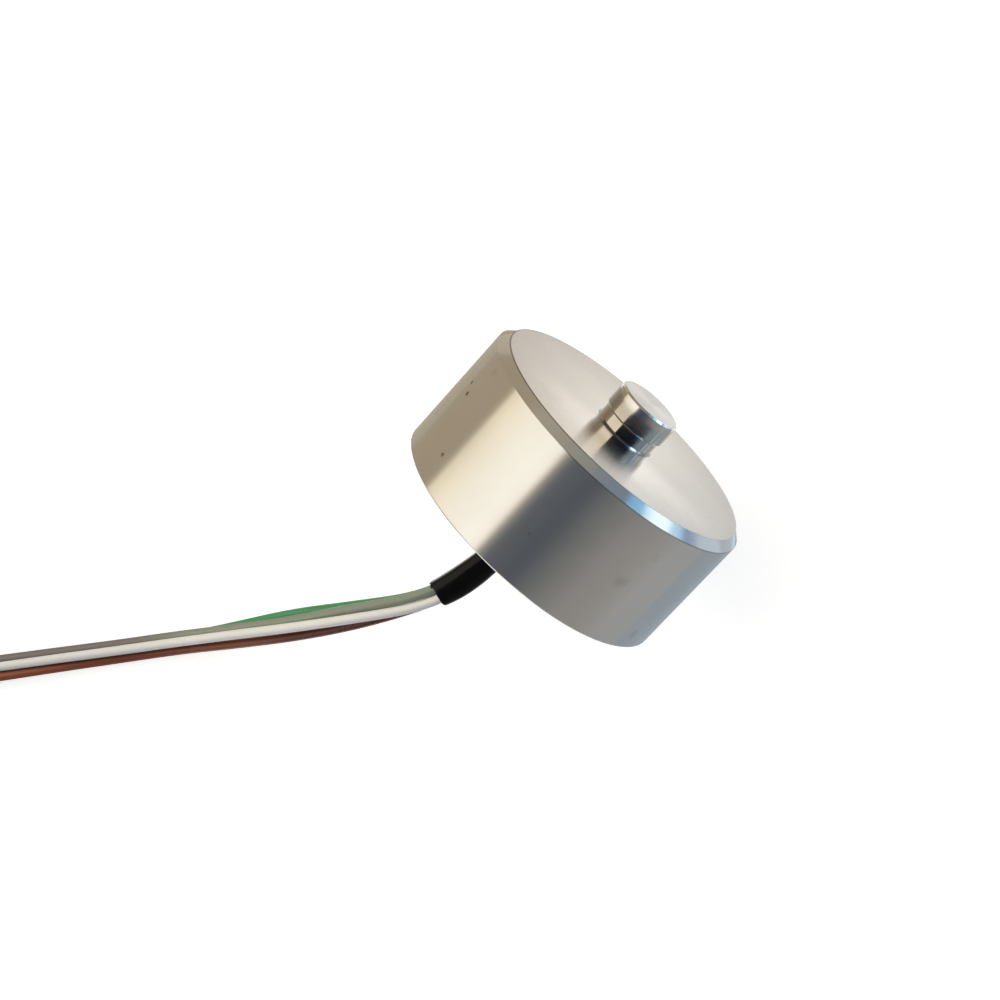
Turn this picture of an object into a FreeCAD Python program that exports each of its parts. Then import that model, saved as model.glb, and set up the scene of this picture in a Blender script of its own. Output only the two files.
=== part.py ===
# Miniature button load cell with four flying leads, lying on its side as it rests on a bench.
# Millimetres. The origin is the centre of the base seat, +X runs along the load axis towards
# the button, and +Z is up, so the bench lies half a body diameter below the origin.
# Angles round the load axis are in degrees, from straight up towards +Y.
import FreeCAD
import Part
import math
import os

V = FreeCAD.Vector

# Spring body, turned from one piece of stainless steel with the load button
BODY_DIAMETER = 10.0
BODY_HEIGHT = 4.59
TOP_CHAMFER = 0.3
BASE_EDGE_BREAK = 0.05
CAVITY_DIAMETER = 7.2
CAVITY_ROOT_BEVEL = 0.25
DIAPHRAGM = 0.8
BUTTON_HEIGHT = 1.27
BUTTON_DIAMETER = 2.2
BUTTON_CHAMFER = 0.06
NECK_HEIGHT = 0.43
NECK_DIAMETER = 2.06
NECK_ROOT_BEVEL = 0.05

# Base cover, seated in a counterbore and set back from the seat
COVER_DIAMETER = 8.4
COVER_THICKNESS = 0.6
COVER_SETBACK = 0.15
COVER_CLEARANCE = 0.01
EXIT_HOLE_DIAMETER = 1.6

# Foil strain gauge on the inner face of the diaphragm
BACKING_CLEARANCE = 0.2
BACKING_THICKNESS = 0.06
FOIL_THICKNESS = 0.03
STRAND_COUNT = 8
STRAND_WIDTH = 0.07
STRAND_PITCH = 0.14
END_LOOP = 0.14
OUTER_GRID_LENGTH = 1.2
INNER_GRID_START = 0.35
GRID_GAP = 0.15
RING_TRACE_MARGIN = 0.4
TRACE_WIDTH = 0.12
TRACE_OVERLAP = 1.0
OUTER_GRID_ANGLES = (0.0, 180.0)
INNER_GRID_ANGLES = (90.0, 270.0)
TAB_FROM_GRID = 45.0
TAB_LENGTH = 0.5
TAB_SPAN = 13.0
COATING_MARGIN = 0.45
COATING_THICKNESS = 0.1

# Terminal board on the cover, with the parts that trim the bridge
BOARD_CLEARANCE = 0.3
BOARD_HOLE = 2.2
BOARD_THICKNESS = 0.3
PAD_LENGTH = 1.0
PAD_WIDTH = 0.6
PAD_THICKNESS = 0.04
PAD_OVERHANG = 0.25
JOINT_SPACING = 0.45
CHIP_LENGTH = 1.0
CHIP_WIDTH = 0.5
CHIP_HEIGHT = 0.35
CHIP_CAP = 0.2
CHIP_CAP_STEP = 0.02
SOLDER_HEIGHT = 0.25
SOLDER_FOOT = 0.24
SOLDER_TIP = 0.1
JUMPER_DIAMETER = 0.1
JUMPER_SLACK = 0.4

# Leads, laid two by two in the shrink sleeve
LEAD_DIAMETER = 0.34
LEAD_GAP = 0.012
WIRE_SIDES = 6
CORE_DIAMETER = 0.16
CORE_RISE = 1.5
SLEEVE_WALL = 0.06
SLEEVE_BORE_CLEARANCE = 0.012
SLEEVE_DEPTH = 0.85
SLEEVE_REACH = 3.95
BEAD_CLEARANCE = 0.01
BEAD_DIAMETER = 2.6
BEAD_HEIGHT = 0.35

# Route of the lead bundle's middle through the sleeve, then out over the bench to the coil.
# Over the bench its height is a lead pitch plus the given share of the body's radius.
STEM_ROUTE = [(1.2, -0.02, 0.0), (-0.9, 0.36, -0.02), (-2.9, 0.8, -0.14), (-4.45, 1.24, -0.38)]
STEM_SIDE = V(0.208, 0.978, 0)
BENCH_ROUTE = [
    (-6.75, 2.4, 0.68),
    (-9.05, 3.7, 0.47),
    (-11.4, 5.0, 0.24),
    (-13.45, 6.4, 0.075),
    (-15.3, 7.85, 0.0),
    (-17.15, 9.3, 0.0),
    (-19.05, 10.75, 0.0),
    (-20.35, 11.7, 0.0),
]
BENCH_HEADING = V(-0.8, 0.6, 0)
BENCH_SIDE = V(0.6, 0.8, 0)

# Place of each lead in the sleeve, then its side and height from the bundle's middle at each
# place over the bench, in lead pitches
LEADS = {
    "lead_black": (
        (0.5, 0.5),
        [1.0, 1.08, 1.3, 1.12, 0.84, 0.77, 0.76, 0.91],
        [0.5, 0.48, 0.5, 0.45, 0.3, -0.08, -0.45, -0.42],
    ),
    "lead_white": (
        (-0.5, 0.5),
        [0.18, 0.49, 0.93, 0.79, 0.42, 0.3, 0.22, 0.39],
        [1.1, 1.3, 1.45, 1.4, 1.22, 0.82, 0.42, 0.5],
    ),
    "lead_green": (
        (0.5, -0.5),
        [0.97, 1.26, 1.31, 0.8, 0.25, -0.13, -0.34, -0.28],
        [-0.6, -0.55, -0.5, -0.5, -0.5, -0.5, -0.5, -0.4],
    ),
    "lead_red": (
        (-0.5, -0.5),
        [-0.82, -0.89, -0.53, -0.55, -0.83, -0.79, -0.84, -0.74],
        [-0.6, -0.55, -0.5, -0.5, -0.3, 0.3, 0.4, 0.5],
    ),
}
# Place of each lead in the coiled bundle, outwards and upwards, in lead pitches
COIL_PLACES = {
    "lead_black": (0.5, -0.5),
    "lead_white": (0.5, 0.5),
    "lead_green": (-0.5, -0.5),
    "lead_red": (-0.5, 0.5),
}
# How far each free end fans out sideways, in lead pitches
TAIL_FANS = {"lead_black": 1.3, "lead_white": 3.0, "lead_green": -1.3, "lead_red": -3.0}

# Coil of the spare length, with its tie and the stripped ends
COIL_RADIUS = 5.2
COIL_CORNER = 0.15
COIL_START = 7.2
COIL_NECK_SPARE = 0.2
COIL_LAST_RUN = 1.9
COIL_TURN_TO_END = 126.0
TIE_THICKNESS = 0.1
TIE_WIDTH = 1.6
TIE_CLEARANCE = 0.02
TIE_ANGLE = 275.0
TAIL_STATIONS = [0.0, 1.3, 3.3, 5.2, 6.6]
TAIL_HEIGHT_SHARES = [1.0, 1.0, 0.6, 0.0, 0.0]
TAIL_FAN_SHARES = [0.0, 0.0, 0.8, 1.1, 1.0]
TIP_LENGTH = 1.8

ARC_SHARE = 0.45

# Places that follow from the sizes above
LOAD_AXIS = V(1, 0, 0)
TURN_AXIS = V(-1, 0, 0)
CENTRE = V(0, 0, 0)
UP = V(0, 0, 1)
BENCH = -BODY_DIAMETER / 2
COVER_SEAT = COVER_SETBACK + COVER_THICKNESS
BOARD_TOP = COVER_SEAT + BOARD_THICKNESS
PAD_TOP = BOARD_TOP + PAD_THICKNESS
CAVITY_TOP = BODY_HEIGHT - DIAPHRAGM
BACKING_DIAMETER = CAVITY_DIAMETER - 2 * (CAVITY_ROOT_BEVEL + BACKING_CLEARANCE)
RING_TRACE_RADIUS = BACKING_DIAMETER / 2 - RING_TRACE_MARGIN
OUTER_GRID_START = RING_TRACE_RADIUS - OUTER_GRID_LENGTH
BOARD_DIAMETER = CAVITY_DIAMETER - 2 * BOARD_CLEARANCE
PAD_START = RING_TRACE_RADIUS + PAD_OVERHANG - PAD_LENGTH
CORE_RADIUS_ON_PAD = RING_TRACE_RADIUS - JOINT_SPACING
BACKING_FACE = CAVITY_TOP - BACKING_THICKNESS
FOIL_FACE = BACKING_FACE - FOIL_THICKNESS
LEAD_PITCH = LEAD_DIAMETER + LEAD_GAP
SLEEVE_BORE = LEAD_PITCH * math.sqrt(0.5) + LEAD_DIAMETER / 2 + SLEEVE_BORE_CLEARANCE
COIL_LIFT = BENCH + TIE_THICKNESS + TIE_CLEARANCE
COIL_NECK = 2 * math.sqrt(LEAD_PITCH * (COIL_RADIUS + LEAD_PITCH)) + COIL_NECK_SPARE
PAD_ANGLES = {
    "lead_black": OUTER_GRID_ANGLES[0] + TAB_FROM_GRID,
    "lead_green": INNER_GRID_ANGLES[0] + TAB_FROM_GRID,
    "lead_red": OUTER_GRID_ANGLES[1] + TAB_FROM_GRID,
    "lead_white": INNER_GRID_ANGLES[1] + TAB_FROM_GRID,
}


def at(axial, radius, angle):
    """Point at an axial place, a radius and an angle round the load axis."""
    turn = math.radians(angle)
    return V(axial, radius * math.sin(turn), radius * math.cos(turn))


def turned(profile):
    """Solid of revolution round the load axis from (axial, radius) corners."""
    corners = [V(axial, 0, radius) for axial, radius in profile]
    face = Part.Face(Part.makePolygon(corners + corners[:1]))
    return face.revolve(CENTRE, LOAD_AXIS, 360)


def disc(axial, thickness, diameter, hole=0.0):
    """Flat disc or ring that starts at an axial place."""
    body = Part.makeCylinder(diameter / 2, thickness, V(axial, 0, 0), LOAD_AXIS)
    if hole:
        body = body.cut(Part.makeCylinder(hole / 2, thickness, V(axial, 0, 0), LOAD_AXIS))
    return body


def smooth_path(points, label):
    """Wire of straight runs joined by tangent arcs, each as large as its two runs allow."""
    edges = []
    radii = []
    start = points[0]
    for before, corner, after in zip(points, points[1:], points[2:]):
        back = (before - corner).normalize()
        ahead = (after - corner).normalize()
        half_turn = (math.pi - back.getAngle(ahead)) / 2
        cut = ARC_SHARE * min((before - corner).Length, (after - corner).Length)
        radius = cut / math.tan(half_turn)
        radii.append(radius)
        middle = corner + (back + ahead).normalize() * radius * (1 / math.cos(half_turn) - 1)
        arc_start = corner + back * cut
        arc_end = corner + ahead * cut
        edges.append(Part.LineSegment(start, arc_start).toShape())
        edges.append(Part.Arc(arc_start, middle, arc_end).toShape())
        start = arc_end
    edges.append(Part.LineSegment(start, points[-1]).toShape())
    print(label, "arc radii", [round(radius, 2) for radius in radii])
    return Part.Wire(edges)


def flat_sided(centre, normal, radius):
    """Outline of a thin wire or small joint, with a few flat sides inside its round outline."""
    turn = FreeCAD.Rotation(UP, normal)
    corners = []
    for i in range(WIRE_SIDES + 1):
        angle = 2 * math.pi * i / WIRE_SIDES
        corners.append(centre + turn.multVec(V(math.cos(angle), math.sin(angle), 0)) * radius)
    return Part.makePolygon(corners)


def tube(points, diameter, label):
    """Wire or cord along a path of runs and arcs."""
    path = smooth_path(points, label)
    section = Part.Face(flat_sided(points[0], points[1] - points[0], diameter / 2))
    solid = path.makePipe(section)
    share = solid.Volume / (section.Area * path.Length)
    print(label, "length", round(path.Length, 2), "volume share", round(share, 4))
    return solid


def spring_body():
    """Body with its diaphragm, cavity, cover counterbore and load button."""
    outer = BODY_DIAMETER / 2
    cavity = CAVITY_DIAMETER / 2
    counterbore = COVER_DIAMETER / 2 + COVER_CLEARANCE
    neck = NECK_DIAMETER / 2
    head = BUTTON_DIAMETER / 2
    neck_top = BODY_HEIGHT + NECK_HEIGHT
    button_top = BODY_HEIGHT + BUTTON_HEIGHT
    return turned(
        [
            (0, counterbore),
            (0, outer - BASE_EDGE_BREAK),
            (BASE_EDGE_BREAK, outer),
            (BODY_HEIGHT - TOP_CHAMFER, outer),
            (BODY_HEIGHT, outer - TOP_CHAMFER),
            (BODY_HEIGHT, neck + NECK_ROOT_BEVEL),
            (BODY_HEIGHT + NECK_ROOT_BEVEL, neck),
            (neck_top, neck),
            (neck_top + head - neck, head),
            (button_top - BUTTON_CHAMFER, head),
            (button_top, head - BUTTON_CHAMFER),
            (button_top, 0),
            (CAVITY_TOP, 0),
            (CAVITY_TOP, cavity - CAVITY_ROOT_BEVEL),
            (CAVITY_TOP - CAVITY_ROOT_BEVEL, cavity),
            (COVER_SEAT, cavity),
            (COVER_SEAT, counterbore),
        ]
    )


def base_cover():
    """Disc that closes the cavity, with the hole for the leads."""
    return disc(COVER_SETBACK, COVER_THICKNESS, COVER_DIAMETER, EXIT_HOLE_DIAMETER)


def foil_box(side, width, start, end):
    """Straight foil strand along the radius that points straight up."""
    return Part.makeBox(FOIL_THICKNESS, width, end - start, V(FOIL_FACE, side - width / 2, start))


def foil_sector(inner, outer, first_angle, last_angle):
    """Foil arc between two radii and two angles."""
    strip = Part.makePlane(
        outer - inner, FOIL_THICKNESS, V(FOIL_FACE, 0, inner), V(0, 1, 0), UP
    )
    strip.rotate(CENTRE, TURN_AXIS, first_angle)
    return strip.revolve(CENTRE, TURN_AXIS, last_angle - first_angle)


def foil_grid(start, end, angle):
    """Meander of one grid, its two ends carried out and round to the tabs beside it."""
    sides = [(i - (STRAND_COUNT - 1) / 2) * STRAND_PITCH for i in range(STRAND_COUNT)]
    pieces = [foil_box(side, STRAND_WIDTH, start, end) for side in sides]
    for i, (left, right) in enumerate(zip(sides, sides[1:])):
        loop_start = start if i % 2 == 0 else end - END_LOOP
        width = right - left + STRAND_WIDTH
        pieces.append(foil_box((left + right) / 2, width, loop_start, loop_start + END_LOOP))
    inner_edge = RING_TRACE_RADIUS - TRACE_WIDTH / 2
    outer_edge = RING_TRACE_RADIUS + TRACE_WIDTH / 2
    for side in (sides[0], sides[-1]):
        if end < inner_edge:
            pieces.append(foil_box(side, TRACE_WIDTH, end - END_LOOP, RING_TRACE_RADIUS))
        edge_angle = math.degrees(math.asin(abs(side) / RING_TRACE_RADIUS))
        trace = foil_sector(inner_edge, outer_edge, edge_angle - TRACE_OVERLAP, TAB_FROM_GRID)
        pieces.append(trace if side > 0 else trace.mirror(CENTRE, V(0, 1, 0)))
    for piece in pieces:
        piece.rotate(CENTRE, TURN_AXIS, angle)
    return pieces


def gauge_foil():
    """Full bridge etched from one foil: two grids near the rim, two near the middle."""
    pieces = []
    for angle in OUTER_GRID_ANGLES:
        pieces += foil_grid(OUTER_GRID_START, RING_TRACE_RADIUS, angle)
    for angle in INNER_GRID_ANGLES:
        pieces += foil_grid(INNER_GRID_START, OUTER_GRID_START - GRID_GAP, angle)
    for angle in PAD_ANGLES.values():
        inner = RING_TRACE_RADIUS - TAB_LENGTH / 2
        pieces.append(
            foil_sector(inner, inner + TAB_LENGTH, angle - TAB_SPAN / 2, angle + TAB_SPAN / 2)
        )
    return pieces[0].multiFuse(pieces[1:]).removeSplitter()


def terminal_pads():
    """Four pads on the board, each long enough for a lead core and a jumper."""
    pads = []
    for angle in PAD_ANGLES.values():
        corner = V(BOARD_TOP, -PAD_WIDTH / 2, PAD_START)
        pad = Part.makeBox(PAD_THICKNESS, PAD_WIDTH, PAD_LENGTH, corner)
        pad.rotate(CENTRE, TURN_AXIS, angle)
        pads.append(pad)
    return Part.makeCompound(pads)


def chip_resistor(angle):
    """Chip with its two end caps, soldered flat on the board."""
    half = CHIP_LENGTH / 2
    step = CHIP_CAP_STEP
    chip = Part.makeBox(
        CHIP_HEIGHT - step,
        CHIP_LENGTH - CHIP_CAP,
        CHIP_WIDTH - 2 * step,
        V(BOARD_TOP, CHIP_CAP / 2 - half, CORE_RADIUS_ON_PAD - CHIP_WIDTH / 2 + step),
    )
    for side in (-half, half - CHIP_CAP):
        cap_corner = V(BOARD_TOP, side, CORE_RADIUS_ON_PAD - CHIP_WIDTH / 2)
        chip = chip.fuse(Part.makeBox(CHIP_HEIGHT, CHIP_CAP, CHIP_WIDTH, cap_corner))
    chip = chip.removeSplitter()
    chip.rotate(CENTRE, TURN_AXIS, angle)
    return chip


def solder_cone(foot, direction):
    """Solder that draws up to the end of a wire."""
    tip = foot + direction * SOLDER_HEIGHT
    outlines = [flat_sided(foot, direction, SOLDER_FOOT), flat_sided(tip, direction, SOLDER_TIP)]
    return Part.makeLoft(outlines, True, True)


def jumper_wire(angle):
    """Fine wire from a pad up to the solder on the gauge tab above it, with some slack."""
    radius = RING_TRACE_RADIUS
    low = PAD_TOP
    high = FOIL_FACE - SOLDER_HEIGHT
    quarter = (high - low) / 4
    stations = [
        (low, radius),
        (low + quarter, radius),
        (low + 2 * quarter, radius + JUMPER_SLACK),
        (high - quarter, radius),
        (high, radius),
    ]
    points = [at(axial, away, angle) for axial, away in stations]
    return tube(points, JUMPER_DIAMETER, "jumper wire")


def stem_points(place):
    """Route of one lead through the sleeve, beside the bundle's middle."""
    out, rise = place
    offset = STEM_SIDE * (out * LEAD_PITCH) + UP * (rise * LEAD_PITCH)
    return [V(*point) + offset for point in STEM_ROUTE]


def coil_centre():
    """Middle of the coil on the bench, to the inner side of the bundle that runs into it."""
    x, y, _ = BENCH_ROUTE[-1]
    touch = V(x, y, BENCH) + BENCH_HEADING * COIL_START
    return touch - BENCH_SIDE * (COIL_RADIUS + LEAD_PITCH)


def coil_entry(name):
    """Place where a lead meets the coil's neck."""
    out, rise = COIL_PLACES[name]
    touch = coil_centre() + BENCH_SIDE * (COIL_RADIUS + LEAD_PITCH)
    side = BENCH_SIDE * (out * LEAD_PITCH)
    height = COIL_LIFT - BENCH + LEAD_PITCH * (1 + rise)
    return touch - BENCH_HEADING * COIL_NECK + side + UP * height


def coil_exit():
    """Place, heading and outward direction where the free ends leave the coil's top layer."""
    angle = math.atan2(BENCH_SIDE.y, BENCH_SIDE.x) + math.radians(COIL_TURN_TO_END)
    outward = V(math.cos(angle), math.sin(angle), 0)
    heading = V(-math.sin(angle), math.cos(angle), 0)
    place = coil_centre() + outward * (COIL_RADIUS + LEAD_PITCH)
    return place, heading, outward


def lead_points(name):
    """Route of one lead from inside the base to the coil's neck."""
    place, sides, heights = LEADS[name]
    points = stem_points(place)
    for (x, y, share), side, rise in zip(BENCH_ROUTE, sides, heights):
        height = LEAD_PITCH * (1 + rise) + share * BODY_DIAMETER / 2
        points.append(V(x, y, BENCH + height) + BENCH_SIDE * (side * LEAD_PITCH))
    entry = coil_entry(name)
    return points + [entry - BENCH_HEADING * COIL_LAST_RUN, entry]


def tail_points(name):
    """Route of one free end from the coil's top layer down to the bench."""
    out, rise = COIL_PLACES[name]
    place, heading, outward = coil_exit()
    start = place + heading * COIL_NECK + outward * (out * LEAD_PITCH)
    top = COIL_LIFT - BENCH + LEAD_PITCH * (3 + rise)
    low = LEAD_DIAMETER / 2
    fan = (TAIL_FANS[name] - out) * LEAD_PITCH
    return [
        start + heading * along + outward * (fan * spread) + UP * (low + (top - low) * share)
        for along, share, spread in zip(TAIL_STATIONS, TAIL_HEIGHT_SHARES, TAIL_FAN_SHARES)
    ]


def lead(name):
    """One lead: the stretch from the base to the coil, and its free end."""
    run = tube(lead_points(name), LEAD_DIAMETER, name)
    tail = tube(tail_points(name), LEAD_DIAMETER, name + " free end")
    return Part.makeCompound([run, tail])


def core_points(name):
    """Route of one bared conductor from the end of its lead over to its pad."""
    start, onward = stem_points(LEADS[name][0])[:2]
    top = start + (start - onward).normalize() * CORE_RISE
    joint = at(PAD_TOP + SOLDER_HEIGHT, CORE_RADIUS_ON_PAD, PAD_ANGLES[name])
    return [start, top, V(top.x, joint.y, joint.z), joint]


def sleeve_shape(wall, label):
    """Round sweep along the sleeve's middle, as thick as its bore and a wall."""
    root, first, second, last = [V(*point) for point in STEM_ROUTE]
    start = first + (root - first) * ((SLEEVE_DEPTH - first.x) / (root.x - first.x))
    end = second + (last - second) * ((-SLEEVE_REACH - second.x) / (last.x - second.x))
    path = smooth_path([start, first, second, end], label)
    ring = Part.Wire(Part.Circle(start, first - start, SLEEVE_BORE + wall).toShape())
    return path.makePipe(Part.Face(ring))


def exit_bead(sleeve_outside):
    """Potting that fills the cover's hole and stands proud round the sleeve."""
    plug = EXIT_HOLE_DIAMETER / 2 - BEAD_CLEARANCE
    bead = turned(
        [
            (COVER_SEAT, 0),
            (COVER_SEAT, plug),
            (COVER_SETBACK, plug),
            (COVER_SETBACK, BEAD_DIAMETER / 2),
            (COVER_SETBACK - BEAD_HEIGHT / 2, BEAD_DIAMETER / 2 - BEAD_HEIGHT / 2),
            (COVER_SETBACK - BEAD_HEIGHT, SLEEVE_BORE + 2 * SLEEVE_WALL),
            (COVER_SETBACK - BEAD_HEIGHT, 0),
        ]
    )
    return bead.cut(sleeve_outside)


def coil_section(grow):
    """Outline of the coil's bundle of turns, in the plane through the coil's axis."""
    half = 2 * LEAD_PITCH + grow
    blunt = half - COIL_CORNER
    across = [(half, blunt), (blunt, half), (-blunt, half), (-half, blunt)]
    outline = across + [(-out, -rise) for out, rise in across]
    middle = coil_centre() + V(COIL_RADIUS, 0, COIL_LIFT - BENCH + 2 * LEAD_PITCH)
    corners = [middle + V(out, 0, rise) for out, rise in outline]
    return Part.Face(Part.makePolygon(corners + corners[:1]))


def neck_block(start, heading, outward, low):
    """Straight stretch of the bundle where it runs into or out of the coil."""
    block = Part.makeBox(COIL_NECK, 2 * LEAD_PITCH, 2 * LEAD_PITCH, V(0, -LEAD_PITCH, 0))
    turn = FreeCAD.Rotation(heading, outward, UP, "ZXY")
    block.Placement = FreeCAD.Placement(V(start.x, start.y, low), turn)
    return block


def lead_coil():
    """Outer shape of the tied coil of spare lead, with its two necks."""
    ring = coil_section(0).revolve(coil_centre(), UP, 360)
    touch = coil_centre() + BENCH_SIDE * (COIL_RADIUS + LEAD_PITCH)
    entry = neck_block(touch - BENCH_HEADING * COIL_NECK, BENCH_HEADING, BENCH_SIDE, COIL_LIFT)
    place, heading, outward = coil_exit()
    leave = neck_block(place, heading, outward, COIL_LIFT + 2 * LEAD_PITCH)
    return ring.multiFuse([entry, leave]).removeSplitter()


def coil_tie():
    """Flat band wrapped once round the coil's bundle of turns."""
    span = math.degrees(TIE_WIDTH / COIL_RADIUS)
    middle = coil_centre()
    band = coil_section(TIE_CLEARANCE + TIE_THICKNESS).cut(coil_section(TIE_CLEARANCE))
    band.rotate(middle, UP, TIE_ANGLE - span / 2)
    return band.revolve(middle, UP, span)


def tinned_tips():
    """Stripped and tinned ends of the four leads."""
    tips = []
    for name in LEADS:
        before, end = tail_points(name)[-2:]
        heading = (end - before).normalize()
        tip = Part.Face(flat_sided(end, heading, CORE_DIAMETER / 2))
        tips.append(tip.extrude(heading * TIP_LENGTH))
    return Part.makeCompound(tips)


def build():
    """Make every piece, by node name."""
    cores = [tube(core_points(name), CORE_DIAMETER, name + " core") for name in LEADS]
    board_solder = []
    gauge_solder = []
    for angle in PAD_ANGLES.values():
        board_solder.append(solder_cone(at(PAD_TOP, CORE_RADIUS_ON_PAD, angle), LOAD_AXIS))
        gauge_solder.append(solder_cone(at(FOIL_FACE, RING_TRACE_RADIUS, angle), TURN_AXIS))
    sleeve_outside = sleeve_shape(SLEEVE_WALL, "sleeve outside")
    coating = 2 * (RING_TRACE_RADIUS - COATING_MARGIN)
    nodes = {
        "spring_body": spring_body(),
        "base_cover": base_cover(),
        "gauge_backing": disc(BACKING_FACE, BACKING_THICKNESS, BACKING_DIAMETER),
        "gauge_foil": gauge_foil(),
        "gauge_coating": disc(FOIL_FACE - COATING_THICKNESS, COATING_THICKNESS, coating),
        "terminal_board": disc(COVER_SEAT, BOARD_THICKNESS, BOARD_DIAMETER, BOARD_HOLE),
        "terminal_pads": terminal_pads(),
        "balance_resistor": chip_resistor(OUTER_GRID_ANGLES[0]),
        "span_resistor": chip_resistor(OUTER_GRID_ANGLES[1]),
        "lead_cores": Part.makeCompound(cores),
        "board_solder": Part.makeCompound(board_solder),
        "gauge_solder": Part.makeCompound(gauge_solder),
        "exit_bead": exit_bead(sleeve_outside),
        "shrink_sleeve": sleeve_outside.cut(sleeve_shape(0, "sleeve bore")),
        "lead_coil": lead_coil(),
        "coil_tie": coil_tie(),
        "tinned_tips": tinned_tips(),
    }
    for number, angle in enumerate(PAD_ANGLES.values(), 1):
        nodes[f"jumper_wire_{number}"] = jumper_wire(angle)
    for name in LEADS:
        nodes[name] = lead(name)
    return nodes


def main():
    """Write one STEP file for each node."""
    os.makedirs("parts", exist_ok=True)
    for name, shape in build().items():
        print(name, "solids", len(shape.Solids), "valid", shape.isValid(), "mm3", round(shape.Volume, 4))
        shape.exportStep(f"parts/{name}.step")


main()
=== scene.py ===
"""Miniature button load cell lying on a white bench: finishes, flying leads, light and camera."""

from __future__ import annotations

import logging
import math
from dataclasses import dataclass, field
from enum import Enum
from typing import ClassVar

import bpy
from bpy.types import Material, Node, NodeSocket, NodeTree, Object, World
from mathutils import Matrix, Vector

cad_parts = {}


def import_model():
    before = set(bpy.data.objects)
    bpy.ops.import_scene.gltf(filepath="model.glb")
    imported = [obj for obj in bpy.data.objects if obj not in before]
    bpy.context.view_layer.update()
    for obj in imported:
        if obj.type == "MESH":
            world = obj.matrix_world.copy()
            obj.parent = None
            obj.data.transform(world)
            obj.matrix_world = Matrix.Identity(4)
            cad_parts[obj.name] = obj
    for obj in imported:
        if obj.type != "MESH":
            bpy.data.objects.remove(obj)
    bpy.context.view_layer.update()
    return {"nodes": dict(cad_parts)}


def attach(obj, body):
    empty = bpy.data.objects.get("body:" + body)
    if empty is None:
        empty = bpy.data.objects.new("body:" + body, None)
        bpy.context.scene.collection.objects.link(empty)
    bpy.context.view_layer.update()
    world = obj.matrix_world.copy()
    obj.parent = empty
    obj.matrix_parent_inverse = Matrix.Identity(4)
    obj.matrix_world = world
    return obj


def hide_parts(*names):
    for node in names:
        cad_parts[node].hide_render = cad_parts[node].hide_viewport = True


LOG = logging.getLogger("load_cell")
MM = 0.001
BODY = "root"
UP = Vector((0.0, 0.0, 1.0))
FULL_TURN = 360.0
Colour = tuple[float, float, float]
Place = tuple[float, float, float]
Turns = tuple[float, float, float]
Stops = tuple[tuple[float, Colour], ...]
# Colour of the small dark marks on the wall, and the default tone of the painted shade along its
# edges.
DARK_MARK_AND_SHADE: Colour = (0.09, 0.08, 0.07)
MARK_RANGE = (0.2, 0.8)  # handling marks that count as least and most
CURVE_ORDER = 3
CURVE_STEPS = 6
CORD_ROUNDNESS = 4


class Lead(Enum):
    """The four leads, named by their insulation."""

    BLACK = "lead_black"
    WHITE = "lead_white"
    GREEN = "lead_green"
    RED = "lead_red"


class Socket(Enum):
    """Kinds of socket that a shared shader effect can have."""

    VALUE = "NodeSocketFloat"
    VECTOR = "NodeSocketVector"


class Easing(Enum):
    """Ways to pass from one end of a range to the other."""

    SMOOTH = "SMOOTHSTEP"
    EVEN = "LINEAR"


def rgba(colour: Colour) -> tuple[float, float, float, float]:
    """Add full opacity to a linear colour."""
    return (*colour, 1.0)


def per_lead(*values: object) -> dict[Lead, object]:
    """Make a field with one value for each lead, in the order of the leads' names above."""
    return field(default_factory=lambda: dict(zip(Lead, values)))


def deselect_all() -> None:
    """Leave object mode with nothing selected."""
    if bpy.context.mode != "OBJECT":
        bpy.ops.object.mode_set(mode="OBJECT")
    bpy.ops.object.select_all(action="DESELECT")


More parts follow.
